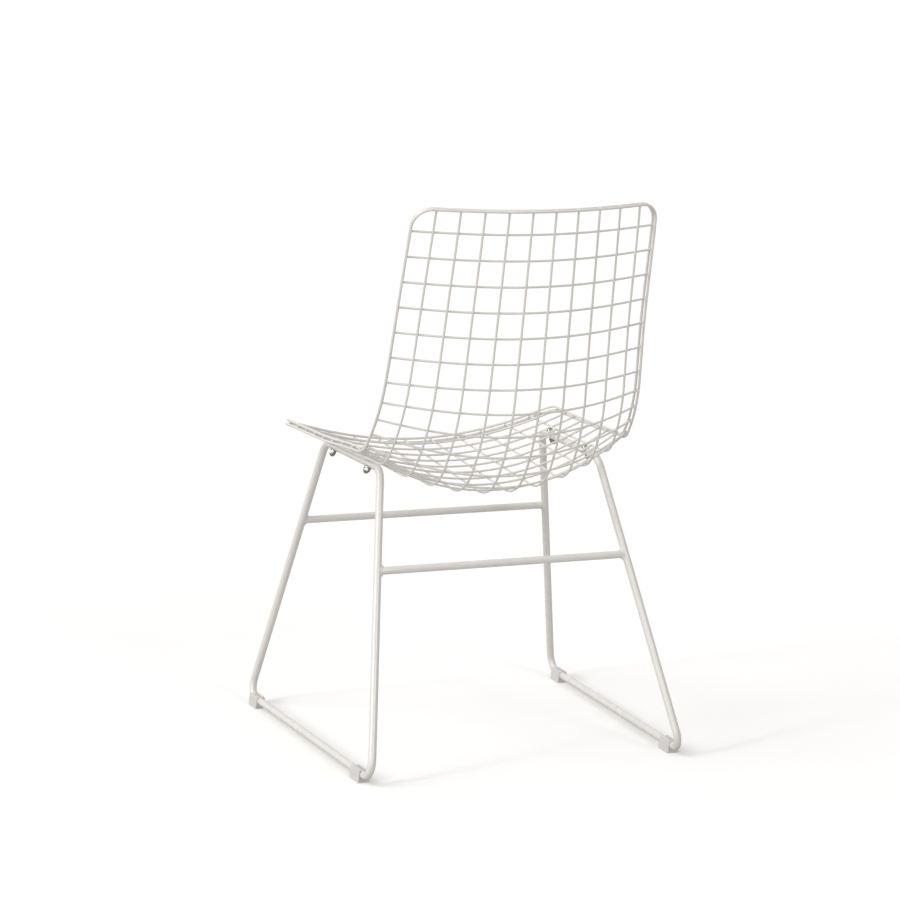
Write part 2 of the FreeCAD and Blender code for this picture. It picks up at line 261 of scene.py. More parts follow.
def tubeTree():
    tree = newTree("tubeAlongPath", [
        ("Radius", "NodeSocketFloat", 0.002),
        ("Sides", "NodeSocketInt", 16),
        ("Finish", "NodeSocketMaterial", None),
    ])
    given = tree.nodes.new("NodeGroupInput")
    curve = addNode(tree, "GeometryNodeMeshToCurve", {"Mesh": given.outputs["Geometry"]})
    swell = addNode(tree, "GeometryNodeInputNamedAttribute", {"Name": "swell"}, data_type="FLOAT")
    ring = addNode(tree, "GeometryNodeCurvePrimitiveCircle",
                   {"Resolution": given.outputs["Sides"], "Radius": given.outputs["Radius"]})
    tube = addNode(tree, "GeometryNodeCurveToMesh",
                   {"Curve": curve.outputs[0], "Profile Curve": ring.outputs[0],
                    "Scale": swell.outputs["Attribute"], "Fill Caps": True})
    whole = addNode(tree, "GeometryNodeRealizeInstances", {"Geometry": tube.outputs[0]})
    painted = addNode(tree, "GeometryNodeSetMaterial",
                      {"Geometry": whole.outputs[0], "Material": given.outputs["Finish"]})
    addNode(tree, "NodeGroupOutput", {"Geometry": painted.outputs[0]})
    return tree


def repeatTree():
    # stands one shape on every point, its Z along the point's "up" and its X along "along"
    tree = newTree("shapeOnPoints", [
        ("Shape", "NodeSocketObject", None),
        ("Unevenness", "NodeSocketFloat", 0.0),
        ("Seed", "NodeSocketInt", 7),
        ("Finish", "NodeSocketMaterial", None),
    ])
    given = tree.nodes.new("NodeGroupInput")
    shape = addNode(tree, "GeometryNodeObjectInfo", {"Object": given.outputs["Shape"]})
    up = addNode(tree, "GeometryNodeInputNamedAttribute", {"Name": "up"}, data_type="FLOAT_VECTOR")
    along = addNode(tree, "GeometryNodeInputNamedAttribute", {"Name": "along"}, data_type="FLOAT_VECTOR")
    size = addNode(tree, "GeometryNodeInputNamedAttribute", {"Name": "size"}, data_type="FLOAT")
    stood = addNode(tree, "FunctionNodeAlignRotationToVector",
                    {"Vector": up.outputs["Attribute"]}, axis="Z")
    turned = addNode(tree, "FunctionNodeAlignRotationToVector",
                     {"Rotation": stood.outputs[0], "Vector": along.outputs["Attribute"]},
                     axis="X", pivot_axis="Z")
    uneven = {0: 1.0, 1: given.outputs["Unevenness"]}
    least = addNode(tree, "ShaderNodeMath", uneven, operation="SUBTRACT")
    most = addNode(tree, "ShaderNodeMath", uneven, operation="ADD")
    # a random number takes its least and most at 2 and 3 and comes out at 1
    chance = addNode(tree, "FunctionNodeRandomValue",
                     {"Seed": given.outputs["Seed"], 2: least.outputs[0], 3: most.outputs[0]},
                     data_type="FLOAT")
    scaled = addNode(tree, "ShaderNodeMath", {0: size.outputs["Attribute"], 1: chance.outputs[1]},
                     operation="MULTIPLY")
    stand = addNode(tree, "GeometryNodeInstanceOnPoints",
                    {"Points": given.outputs["Geometry"], "Instance": shape.outputs["Geometry"],
                     "Rotation": turned.outputs[0], "Scale": scaled.outputs[0]})
    whole = addNode(tree, "GeometryNodeRealizeInstances", {"Geometry": stand.outputs[0]})
    painted = addNode(tree, "GeometryNodeSetMaterial",
                      {"Geometry": whole.outputs[0], "Material": given.outputs["Finish"]})
    addNode(tree, "NodeGroupOutput", {"Geometry": painted.outputs[0]})
    return tree


def runTree(name, mesh, tree, values):
    # evaluates the tree on the mesh and keeps the result as a plain mesh
    piece = bpy.data.objects.new(name, mesh)
    scene.collection.objects.link(piece)
    build = piece.modifiers.new("build", "NODES")
    build.node_group = tree
    for item in tree.interface.items_tree:
        if item.item_type == "SOCKET" and item.in_out == "INPUT" and item.name in values:
            build[item.identifier] = values[item.name]
    depsgraph = bpy.context.evaluated_depsgraph_get()
    result = bpy.data.meshes.new_from_object(piece.evaluated_get(depsgraph))
    piece.modifiers.remove(build)
    piece.data = result
    result.name = name
    finishMesh(result)
    return piece


def finishMesh(mesh, sharpAngle=40):
    work = bmesh.new()
    work.from_mesh(mesh)
    bmesh.ops.recalc_face_normals(work, faces=work.faces)
    for face in work.faces:
        face.smooth = True
    work.to_mesh(mesh)
    work.free()
    mesh.set_sharp_from_angle(angle=math.radians(sharpAngle))


def newPiece(name, mesh, finish, sharpAngle):
    piece = bpy.data.objects.new(name, mesh)
    scene.collection.objects.link(piece)
    mesh.materials.append(finish)
    finishMesh(mesh, sharpAngle)
    return piece


def pathMesh(name, points, swells, closed):
    mesh = bpy.data.meshes.new(name + "Path")
    count = len(points)
    edges = [(i, i + 1) for i in range(count - 1)]
    if closed:
        edges.append((count - 1, 0))
    mesh.from_pydata([place(point) for point in points], edges, [])
    swell = mesh.attributes.new("swell", "FLOAT", "POINT")
    swell.data.foreach_set("value", swells)
    return mesh


tubeDetail = {
    "wireSides": 14,
    "rimSides": 16,
    "rodSides": 28,
    "endRounding": 0.7,     # radius of the softened edge of a wire's end
    "endShare": 0.4,        # and the most it takes of a thin wire's own radius
    "endRings": 4,
}


def roundEnds(points, radius):
    # adds a few narrowing rings so that a sheared wire end is softly rounded under its coat
    soft = min(tubeDetail["endRounding"], radius * tubeDetail["endShare"])
    steps = tubeDetail["endRings"]
    rings = []
    for i in range(steps + 1):
        turn = math.pi / 2 * i / steps
        rings.append((soft * (1 - math.cos(turn)), (radius - soft + soft * math.sin(turn)) / radius))
    inward = (points[1] - points[0]).normalized()
    head = [(points[0] + inward * inset, swell) for inset, swell in rings]
    inward = (points[-2] - points[-1]).normalized()
    tail = [(points[-1] + inward * inset, swell) for inset, swell in rings]
    every = head + [(point, 1.0) for point in points[1:-1]] + tail[::-1]
    return [point for point, swell in every], [swell for point, swell in every]


def makeTube(name, points, radius, sides, closed, node):
    if closed:
        swells = [1.0] * len(points)
    else:
        points, swells = roundEnds(points, radius)
    mesh = pathMesh(name, points, swells, closed)
    piece = runTree(name, mesh, tubeAlongPath, {
        "Radius": radius * millimetre, "Sides": sides, "Finish": powderCoat,
    })
    keep(piece, [node])


def keep(piece, nodes=()):
    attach(piece, root)
    if nodes:
        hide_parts(*nodes)


# finishes

def surfaceGroup(name, outputs, inputs):
    group = bpy.data.node_groups.new(name, "ShaderNodeTree")
    for label, kind, value in inputs:
        socket = group.interface.new_socket(name=label, in_out="INPUT", socket_type=kind)
        socket.default_value = value
    for label, kind in outputs:
        group.interface.new_socket(name=label, in_out="OUTPUT", socket_type=kind)
    return group


def unevenCoat():
    # what every moulded, plated or sprayed surface of the chair has: drift of tone, fine skin, scuffs
    group = surfaceGroup("unevenCoat", [
        ("Color", "NodeSocketColor"), ("Roughness", "NodeSocketFloat"), ("Height", "NodeSocketFloat"),
    ], [
        ("Base", "NodeSocketColor", (0.8, 0.8, 0.8, 1)),
        ("Drift", "NodeSocketColor", (0.7, 0.7, 0.7, 1)),
        ("Scuffed", "NodeSocketColor", (0.5, 0.5, 0.5, 1)),
        ("Drift Scale", "NodeSocketFloat", 14.0),
        ("Skin Scale", "NodeSocketFloat", 900.0),
        ("Scuff Scale", "NodeSocketFloat", 120.0),
        ("Scuff Amount", "NodeSocketFloat", 0.3),
        ("Scuff Roughness", "NodeSocketFloat", 0.25),
        ("Smoothest", "NodeSocketFloat", 0.3),
        ("Roughest", "NodeSocketFloat", 0.45),
    ])
    given = group.nodes.new("NodeGroupInput")
    where = group.nodes.new("ShaderNodeTexCoord").outputs["Object"]
    drift = addNode(group, "ShaderNodeTexNoise", {
        "Vector": where, "Scale": given.outputs["Drift Scale"], "Detail": 3.0, "Roughness": 0.55,
    })
    skin = addNode(group, "ShaderNodeTexNoise", {
        "Vector": where, "Scale": given.outputs["Skin Scale"], "Detail": 2.0, "Roughness": 0.5,
    })
    scuff = addNode(group, "ShaderNodeTexNoise", {
        "Vector": where, "Scale": given.outputs["Scuff Scale"], "Detail": 5.0, "Roughness": 0.7,
        "Distortion": 0.6,
    })
    edge = addNode(group, "ShaderNodeMapRange", {
        "Value": scuff.outputs[0], "From Min": 0.62, "From Max": 0.74, "To Min": 0.0, "To Max": 1.0,
    })
    amount = addNode(group, "ShaderNodeMath", {
        0: edge.outputs[0], 1: given.outputs["Scuff Amount"],
    }, operation="MULTIPLY")
    # a mix of colours takes its share at 0 and the colours at 6 and 7, and comes out at 2
    tone = addNode(group, "ShaderNodeMix", {
        0: drift.outputs[0], 6: given.outputs["Base"], 7: given.outputs["Drift"],
    }, data_type="RGBA")
    worn = addNode(group, "ShaderNodeMix", {
        0: amount.outputs[0], 6: tone.outputs[2], 7: given.outputs["Scuffed"],
    }, data_type="RGBA")
    rough = addNode(group, "ShaderNodeMapRange", {
        "Value": drift.outputs[0], "From Min": 0.3, "From Max": 0.7,
        "To Min": given.outputs["Smoothest"], "To Max": given.outputs["Roughest"],
    })
    scuffedRough = addNode(group, "ShaderNodeMath", {
        0: amount.outputs[0], 1: given.outputs["Scuff Roughness"],
    }, operation="MULTIPLY")
    total = addNode(group, "ShaderNodeMath", {
        0: rough.outputs[0], 1: scuffedRough.outputs[0],
    }, operation="ADD")
    height = addNode(group, "ShaderNodeMath", {
        0: skin.outputs[0], 1: amount.outputs[0],
    }, operation="SUBTRACT")
    addNode(group, "NodeGroupOutput", {
        "Color": worn.outputs[2], "Roughness": total.outputs[0], "Height": height.outputs[0],
    })
    return group


def makeFinish(name, values, bumps, shader):
    finish = bpy.data.materials.new(name)
    finish.use_nodes = True
    tree = finish.node_tree
    surface = tree.nodes["Principled BSDF"]
    coat = addNode(tree, "ShaderNodeGroup", node_tree=unevenCoatGroup)
    for label, value in values.items():
        coat.inputs[label].default_value = value
    bump = addNode(tree, "ShaderNodeBump", {**bumps, "Height": coat.outputs["Height"]})
    tree.links.new(coat.outputs["Color"], surface.inputs["Base Color"])
    tree.links.new(coat.outputs["Roughness"], surface.inputs["Roughness"])
    tree.links.new(bump.outputs[0], surface.inputs["Normal"])
    for label, value in shader.items():
        surface.inputs[label].default_value = value
    return finish


unevenCoatGroup = unevenCoat()
powderCoat = makeFinish("powderCoat", {
    "Base": (0.70, 0.68, 0.655, 1), "Drift": (0.64, 0.62, 0.595, 1), "Scuffed": (0.54, 0.51, 0.475, 1),
    "Drift Scale": 11.0, "Skin Scale": 1100.0, "Scuff Scale": 160.0, "Scuff Amount": 0.25,
    "Smoothest": 0.22, "Roughest": 0.30,
}, {"Strength": 0.25, "Distance": 0.00012}, {
    "Specular IOR Level": 0.5, "Coat Weight": 0.4, "Coat Roughness": 0.16,
})
brightPlate = makeFinish("brightPlate", {
    "Base": (0.36, 0.355, 0.345, 1), "Drift": (0.24, 0.235, 0.225, 1), "Scuffed": (0.13, 0.125, 0.115, 1),
    "Drift Scale": 180.0, "Skin Scale": 2600.0, "Scuff Scale": 700.0, "Scuff Amount": 0.5,
    "Smoothest": 0.06, "Roughest": 0.20,
}, {"Strength": 0.2, "Distance": 0.00003}, {"Metallic": 1.0})
glidePlastic = makeFinish("glidePlastic", {
    "Base": (0.62, 0.60, 0.60, 1), "Drift": (0.57, 0.55, 0.55, 1), "Scuffed": (0.48, 0.46, 0.44, 1),
    "Drift Scale": 90.0, "Skin Scale": 1500.0, "Scuff Scale": 420.0, "Scuff Amount": 0.4,
    "Smoothest": 0.28, "Roughest": 0.42,
}, {"Strength": 0.25, "Distance": 0.00006}, {
    "Subsurface Weight": 0.3, "Subsurface Scale": 0.003, "IOR": 1.47,
})
print("finishes ready")

tubeAlongPath = tubeTree()
shapeOnPoints = repeatTree()


# the mesh shell

shellDetail = {
    "longWireSteps": 150,
    "crossWireSteps": 48,
    "rimEdgeSteps": 24,     # along half of the top or front edge
    "rimCornerSteps": 18,
    "rimFlankSteps": 150,
}


def makeLongWires():
    steps = shellDetail["longWireSteps"]
    for index in range(shell["longWires"]):
        points = []
        for i in range(steps + 1):
            s = -shell["wireOverhang"] + (shellLength + 2 * shell["wireOverhang"]) * i / steps
            points.append(shellPoint(columnAt(index, s), s, 0.0))
        makeTube("longWire%02d" % (index + 1), points, meshRadius, tubeDetail["wireSides"], False,
                 "long_wire_%02d" % (index + 1))


def makeCrossWires():
    steps = shellDetail["crossWireSteps"]
    for row in range(shell["crossWires"]):
        s = rowAt(row)
        reach = halfWidth(s) + shell["wireOverhang"]
        points = [shellPoint(reach * (2 * i / steps - 1), s, crossLevel) for i in range(steps + 1)]
        makeTube("crossWire%02d" % (row + 1), points, meshRadius, tubeDetail["wireSides"], False,
                 "cross_wire_%02d" % (row + 1))


def rimPoints(level):
    # one closed hoop: front edge, side, top edge, side
    corner = shell["cornerRadius"]
    halfEdge = shellDetail["rimEdgeSteps"]
    points = []

    def edge(s, begin, finish, count):
        half = halfWidth(s) - corner
        for i in range(count):
            points.append(shellPoint(half * (begin + (finish - begin) * i / count), s, level))

    def turn(side, atTop, begin, finish):
        count = shellDetail["rimCornerSteps"]
        for i in range(count):
            t = begin + (finish - begin) * i / count
            angle = math.pi / 2 * t
            inset = corner * (1 - math.sin(angle))
            s = inset if atTop else shellLength - inset
            across = halfWidth(s) - corner * (1 - math.cos(angle))
            drop = crossLevel * (1 - t * t * (3 - 2 * t))
            points.append(shellPoint(side * across, s, drop + level))

    def flank(side, begin, finish):
        count = shellDetail["rimFlankSteps"]
        for i in range(count):
            t = begin + (finish - begin) * i / count
            s = corner + (shellLength - 2 * corner) * t
            points.append(shellPoint(side * halfWidth(s), s, crossLevel + level))

    edge(shellLength, 0, 1, halfEdge)
    turn(1, False, 1, 0)
    flank(1, 1, 0)
    turn(1, True, 0, 1)
    edge(0, 1, -1, 2 * halfEdge)
    turn(-1, True, 1, 0)
    flank(-1, 0, 1)
    turn(-1, False, 0, 1)
    edge(shellLength, -1, 0, halfEdge)
    return points


def makeRims():
    for name, level, node in (("rimWireInner", rimStep, "rim_wire_inner"),
                              ("rimWireOuter", -rimStep, "rim_wire_outer")):
        makeTube(name, rimPoints(level), rimRadius, tubeDetail["rimSides"], True, node)


makeLongWires()
makeCrossWires()
makeRims()
print("shell wires made")


# welds where the wires meet

weld = {
    "reach": 1.95,       # half width of the bead in the plane between two wires
    "lobes": 0.16,       # how much further it runs into the four corners
    "height": 1.25,      # half thickness
    "fullness": 0.8,     # power of its side's curve, 1 would be an ellipse
    "around": 16,
    "rings": 6,
    "sharpAngle": 80,
    "rimSize": 1.08,     # of the beads on the thicker rim wires
    "unevenness": 0.10,
    "seed": 11,
}


def beadShape():
    # a flattened pillow with four soft lobes, for the corners between two crossing wires
    around = weld["around"]
    work = bmesh.new()
    rings = []
    for k in range(1, weld["rings"]):
        tilt = math.pi * k / weld["rings"] - math.pi / 2
        level = weld["height"] * math.sin(tilt)
        ring = []
        for i in range(around):
            turn = 2 * math.pi * i / around
            lobe = 1 - weld["lobes"] * math.cos(4 * turn)
            reach = weld["reach"] * lobe * math.cos(tilt) ** weld["fullness"]
            spot = Vector((reach * math.cos(turn), reach * math.sin(turn), level))
            ring.append(work.verts.new(spot * millimetre))
        rings.append(ring)
    bottom = work.verts.new((0, 0, -weld["height"] * millimetre))
    top = work.verts.new((0, 0, weld["height"] * millimetre))
    for i in range(around):
        j = (i + 1) % around
        work.faces.new((bottom, rings[0][j], rings[0][i]))
        work.faces.new((top, rings[-1][i], rings[-1][j]))
        for low, high in zip(rings, rings[1:]):
            work.faces.new((low[i], low[j], high[j], high[i]))
    mesh = bpy.data.meshes.new("weldBead")
    work.to_mesh(mesh)
    work.free()
    finishMesh(mesh, weld["sharpAngle"])
    return bpy.data.objects.new("weldBead", mesh)


def pointMesh(name, spots):
    # spots are (point, up, along, size), the point in metres
    mesh = bpy.data.meshes.new(name)
    mesh.from_pydata([spot[0] for spot in spots], [], [])
    for label, column in (("up", 1), ("along", 2)):
        values = mesh.attributes.new(label, "FLOAT_VECTOR", "POINT")
        values.data.foreach_set("vector", [c for spot in spots for c in spot[column]])
    sizes = mesh.attributes.new("size", "FLOAT", "POINT")
    sizes.data.foreach_set("value", [spot[3] for spot in spots])
    return mesh


def weldSpot(across, s, level, size):
    up = shellUp(across, s)
    along = (shellPoint(across, s + 1, 0) - shellPoint(across, s - 1, 0)).normalized()
    return place(shellPoint(across, s, level)), up, along, size


def makeWelds():
    crossing = []
    for row in range(shell["crossWires"]):
        s = rowAt(row)
        for index in range(shell["longWires"]):
            crossing.append(weldSpot(columnAt(index, s), s, crossLevel / 2, 1.0))
    rim = []
    size = weld["rimSize"]
    for row in range(shell["crossWires"]):
        s = rowAt(row)
        for side in (1, -1):
            for level in (1, -1):
                rim.append(weldSpot(side * halfWidth(s), s, crossLevel + level * rimStep / 2, size))
    for s in (0.0, shellLength):
        for index in range(shell["longWires"]):
            for level in (1, -1):
                rim.append(weldSpot(columnAt(index, s), s, level * rimStep / 2, size))
    bead = beadShape()
    scene.collection.objects.link(bead)
    for name, spots in (("gridWelds", crossing), ("rimWelds", rim)):
        piece = runTree(name, pointMesh(name + "Points", spots), shapeOnPoints, {
            "Shape": bead, "Unevenness": weld["unevenness"], "Seed": weld["seed"], "Finish": powderCoat,
        })
        keep(piece)
    bpy.data.objects.remove(bead)
    print("welds made:", len(crossing) + len(rim))


makeWelds()


# sled frames

def boltFrame(boltRow):
    s = rowAt(boltRow) - sled["plateSize"] / 2 - meshRadius + chair["weldSink"]
    across = sled["barColumn"] * columnPitch(s)
    seat = shellPoint(across, s, crossLevel - meshRadius - sled["barDrop"])
    up = shellUp(across, s)
    return seat - up * rodRadius, up


def barLine():
    front = boltFrame(sled["frontBoltRow"])[0]
    rear = boltFrame(sled["frontBoltRow"] - sled["boltRowStep"])[0]
    return front, rear, (rear - front).normalized()


def mirrored(point, side):
    return Vector((point.x * side, point.y, point.z))


def sideBolt(boltRow, side):
    along = barLine()[2]
    centre, up = boltFrame(boltRow)
    up = (up - along * up.dot(along)).normalized()
    return mirrored(centre + up * rodRadius, side), mirrored(up, side)


def framePoint(top, along, y, z):
    run = (y - top.y) / along.y
    drop = top.z + along.z * run - z
    return Vector((top.x + along.x * run + math.tan(math.radians(sled["splay"])) * drop, y, z))


def legCorners(side):
    # front foot, rear foot, rear top and front top of one closed rod
    front, rear, along = barLine()
    topFront = front - along * sled["barAhead"]
    topRear = rear + along * sled["barBehind"]
    footHeight = sled["glideFloor"] + rodRadius
    frontFoot = framePoint(topFront, along, topFront.y - sled["frontRake"], footHeight)
    rearFoot = framePoint(topFront, along, topRear.y + sled["rearRake"], footHeight)
    return [mirrored(point, side) for point in (frontFoot, rearFoot, topRear, topFront)]


sledDetail = {
    "bendSteps": 20,
    "runSteps": 12,
    "stretcherSteps": 16,
    "stretcherInset": 3.0,    # from the leg's middle to the stretcher's hidden end
}


def bendAt(corner, before, after, radius):
    # the centre of a bend between two runs, and where the rod enters and leaves it
    before = (before - corner).normalized()
    after = (after - corner).normalized()
    half = math.acos(before.dot(after)) / 2
    centre = corner + (before + after).normalized() * (radius / math.sin(half))
    setback = radius / math.tan(half)
    return centre, corner + before * setback, corner + after * setback


def bentLoop(corners, radii):
    # straight runs and round bends of a closed rod, as points
    count = len(corners)
    bends = [bendAt(corners[i], corners[i - 1], corners[(i + 1) % count], radii[i]) for i in range(count)]
    bendSteps = sledDetail["bendSteps"]
    runSteps = sledDetail["runSteps"]
    points = []
    for i, (centre, enter, leave) in enumerate(bends):
        first = enter - centre
        last = leave - centre
        turn = first.angle(last)
        for k in range(bendSteps + 1):
            t = k / bendSteps
            arm = first * math.sin((1 - t) * turn) + last * math.sin(t * turn)
            points.append(centre + arm / math.sin(turn))
        start = points[-1]
        arrive = bends[(i + 1) % count][1]
        points += [start.lerp(arrive, k / runSteps) for k in range(1, runSteps)]
    return points


def makeLegFrames():
    radii = [sled["footBend"], sled["footBend"], sled["shoulderBend"], sled["shoulderBend"]]
    for side, name in ((1, "left"), (-1, "right")):
        points = bentLoop(legCorners(side), radii)
        makeTube(name + "LegFrame", points, rodRadius, tubeDetail["rodSides"], True, name + "_leg_frame")


def onLeg(side, height, footIndex, topIndex):
    corners = legCorners(side)
    foot = corners[footIndex]
    top = corners[topIndex]
    return foot + (top - foot) * ((height - foot.z) / (top.z - foot.z)), (top - foot).normalized()


jointFillet = {
    "size": 5.2,          # how far the weld runs along the stretcher and over the leg
    "around": 40,
    "across": 8,
    "edgeSink": 0.05,     # depth of its edges and of its hidden side under the rods' skins
    "backSink": 1.0,
    "searchReach": 4,     # leg radii
    "searchSteps": 30,
    "sharpAngle": 60,
}


def filletMesh(name, centre, outward, leg, barRadius):
    # a trumpet of weld between a stretcher's end and the leg, closed on its hidden side
    around = jointFillet["around"]
    across = jointFillet["across"]
    size = jointFillet["size"]
    edgeSink = jointFillet["edgeSink"]
    backSink = jointFillet["backSink"]
    upright = (leg - outward * leg.dot(outward)).normalized()
    beside = outward.cross(upright)
    work = bmesh.new()
    rings = []
    for i in range(around):
        turn = 2 * math.pi * i / around
        ray = upright * math.cos(turn) + beside * math.sin(turn)
        # where the stretcher's skin meets the leg's skin
        low, high = 0.0, jointFillet["searchReach"] * rodRadius
        for step in range(jointFillet["searchSteps"]):
            middle = (low + high) / 2
            spot = outward * middle + ray * barRadius
            if (spot - leg * spot.dot(leg)).length < rodRadius:
                low = middle
            else:
                high = middle
        meet = outward * high + ray * barRadius
        start = meet + outward * size
        flow = meet + ray * size
        foot = leg * flow.dot(leg)
        radial = (flow - foot).normalized()
        end = foot + radial * rodRadius
        profile = [start - ray * backSink, start - ray * edgeSink]
        for k in range(1, across):
            t = k / across
            profile.append(start * (1 - t) ** 2 + meet * 2 * t * (1 - t) + end * t ** 2)
        profile += [foot + radial * (rodRadius - edgeSink), foot + radial * (rodRadius - backSink)]
        rings.append([work.verts.new(place(centre + spot)) for spot in profile])
    length = len(rings[0])
    for i in range(around):
        j = (i + 1) % around
        for k in range(length):
            m = (k + 1) % length
            work.faces.new((rings[i][k], rings[j][k], rings[j][m], rings[i][m]))
    mesh = bpy.data.meshes.new(name)
    work.to_mesh(mesh)
    work.free()
    return mesh


def makeStretchers():
    barRadius = chair["stretcherRod"] / 2
    inset = sledDetail["stretcherInset"]
    steps = sledDetail["stretcherSteps"]
    for end, height, footIndex, topIndex in (("front", sled["frontStretcherHeight"], 0, 3),
                                             ("rear", sled["rearStretcherHeight"], 1, 2)):
        left, leftLeg = onLeg(1, height, footIndex, topIndex)
        right, rightLeg = onLeg(-1, height, footIndex, topIndex)
        across = (right - left).normalized()
        start = left + across * inset
        points = [start.lerp(right - across * inset, i / steps) for i in range(steps + 1)]
        makeTube(end + "Stretcher", points, barRadius, tubeDetail["rodSides"], False, end + "_stretcher")
        for label, centre, outward, leg in (("Left", left, across, leftLeg),
                                            ("Right", right, -across, rightLeg)):
            name = end + "StretcherWeld" + label
            mesh = filletMesh(name, centre, outward, leg, barRadius)
            piece = newPiece(name, mesh, powderCoat, jointFillet["sharpAngle"])
            keep(piece)


makeLegFrames()
makeStretchers()
print("frames and stretchers made")


# fasteners

fastener = {
    "around": 48,
    "sharpAngle": 32,
    "firstTurn": 11,     # degrees; each one stands turned further than the last, as tightened by hand
    "turnStep": 17,
}


def hexRadius(flats, turn):
    sector = math.pi / 3
    return flats / 2 / math.cos((turn + sector / 2) % sector - sector / 2)


def latheMesh(name, rows, closed=False):
    # rows are radius and height, each a number or a function of the turn; a closed shape is a ring,
    # and the ends of another close at a centre point
    work = bmesh.new()
    around = fastener["around"]
    rings = []
    for radius, height in rows:
        ring = []
        for i in range(around):
            turn = 2 * math.pi * i / around
            reach = radius(turn) if callable(radius) else radius
            level = height(turn) if callable(height) else height
            spot = Vector((reach * math.cos(turn), reach * math.sin(turn), level))
            ring.append(work.verts.new(spot * millimetre))
        rings.append(ring)
    pairs = list(zip(rings, rings[1:]))
    if closed:
        pairs.append((rings[-1], rings[0]))
    for low, high in pairs:
        for i in range(around):
            j = (i + 1) % around
            work.faces.new((low[i], low[j], high[j], high[i]))
    if not closed:
        for ring in (rings[0], rings[-1]):
            height = sum(vertex.co.z for vertex in ring) / around
            centre = work.verts.new((0, 0, height))
            for i in range(around):
                work.faces.new((centre, ring[i], ring[(i + 1) % around]))
    mesh = bpy.data.meshes.new(name)
    work.to_mesh(mesh)
    work.free()
    finishMesh(mesh, fastener["sharpAngle"])
    return bpy.data.objects.new(name, mesh)


bolt = {
    "shank": 3.0,
    "headRadius": 5.25,
    "headHeight": 3.3,
    "headRings": 8,
    "headEdge": 0.985,                        # share of the head's radius where its dome ends
    "headFoot": ((0.0, 0.25), (0.12, 0.02)),  # rounding of its lower edge, inwards and upwards
    "socketFlats": 4.0,
    "socketDepth": 2.0,
    "socketPit": (0.45, 0.5),                 # share of the socket's width, and depth under its floor
    "socketFloor": (0.96, 0.15),              # share of the width, and height of its rounded edge
    "socketMouth": (0.22, 0.25),              # chamfer, outwards and down
    "threadLength": 7.0,
    "tipChamfer": 0.5,
}

washer = {
    "radius": 6.25,
    "bore": 3.2,
    "thickness": 1.2,
    "soft": 0.2,     # rounding of its edges, and twice that at the outer lower one
}

nut = {
    "flats": 10.0,
    "hex": 5.0,
    "height": 9.5,
    "dome": 4.6,
    "domeRings": 12,
    "bore": 3.4,
    "cornerRings": 5,                      # these turn the hexagon's corners off at both ends
    "cornerStart": (0.1, 0.05),            # out past the flats, and in from the end
    "cornerStep": (0.2, 0.09),
    "cornerDepth": 1.2,                    # from here on the hexagon is whole
    "neck": ((0.35, 0.02), (0.08, 0.12)),  # soft foot of the dome, out past it and under the hexagon
}

nutFace = -chair["frameRod"] - washer["thickness"]


def boltShape():
    base = sled["plateThickness"]
    rise = bolt["headHeight"]
    top = base + rise
    head = bolt["headRadius"]
    domeRadius = (head ** 2 + rise ** 2) / (2 * rise)
    floor = top - bolt["socketDepth"]
    pitShare, pitDepth = bolt["socketPit"]
    floorShare, floorRise = bolt["socketFloor"]
    mouthOut, mouthDown = bolt["socketMouth"]

    def domeHeight(radius):
        return top - domeRadius + math.sqrt(domeRadius ** 2 - radius ** 2)

    def socket(turn):
        return hexRadius(bolt["socketFlats"], turn)

    def domeRing(t):
        # from the hexagon of the socket's mouth to the head's round edge
        def reach(turn):
            return (socket(turn) + mouthOut) * (1 - t) + head * bolt["headEdge"] * t

        return reach, lambda turn: domeHeight(reach(turn))

    rows = [
        (lambda turn: socket(turn) * pitShare, floor - pitDepth),
        (lambda turn: socket(turn) * floorShare, floor),
        (socket, floor + floorRise),
        (socket, lambda turn: domeHeight(socket(turn)) - mouthDown),
    ]
    rings = bolt["headRings"]
    rows += [domeRing(k / rings) for k in range(rings + 1)]
    rows += [(head - inwards, base + upwards) for inwards, upwards in bolt["headFoot"]]
    shank = bolt["shank"]
    tip = nutFace - bolt["threadLength"]
    chamfer = bolt["tipChamfer"]
    rows += [(shank, base), (shank, tip + chamfer), (shank - chamfer, tip)]
    return latheMesh("boltShape", rows)


def washerShape():
    outer = washer["radius"]
    inner = washer["bore"]
    low = nutFace
    high = nutFace + washer["thickness"]
    soft = washer["soft"]
    rows = [(inner, low + soft), (inner + soft, low), (outer - soft * 2, low), (outer, low + soft * 2),
            (outer, high - soft), (outer - soft, high), (inner + soft, high), (inner, high - soft)]
    return latheMesh("washerShape", rows, closed=True)


def capNutShape():
    flats = nut["flats"]
    dome = nut["dome"]
    hexEnd = nutFace - nut["hex"]
    centre = nutFace - nut["height"] + dome
    startOut, startIn = nut["cornerStart"]
    stepOut, stepIn = nut["cornerStep"]
    whole = nut["cornerDepth"]

    def hexagon(turn):
        return hexRadius(flats, turn)

    def turnedOff(limit):
        return lambda turn: min(hexagon(turn), limit)

    corners = [(turnedOff(flats / 2 + startOut + stepOut * k), startIn + stepIn * k)
               for k in range(nut["cornerRings"])]
    rows = [(nut["bore"], nutFace), (flats / 2 - startOut, nutFace)]
    rows += [(reach, nutFace - depth) for reach, depth in corners]
    rows += [(hexagon, nutFace - whole), (hexagon, hexEnd + whole)]
    rows += [(reach, hexEnd + depth) for reach, depth in reversed(corners)]
    rows += [(dome + out, hexEnd - down) for out, down in nut["neck"]]
    rings = nut["domeRings"]
    for k in range(1, rings):
        tilt = math.pi / 2 * k / rings
        rows.append((dome * math.cos(tilt), centre - dome * math.sin(tilt)))
    return latheMesh("capNutShape", rows)


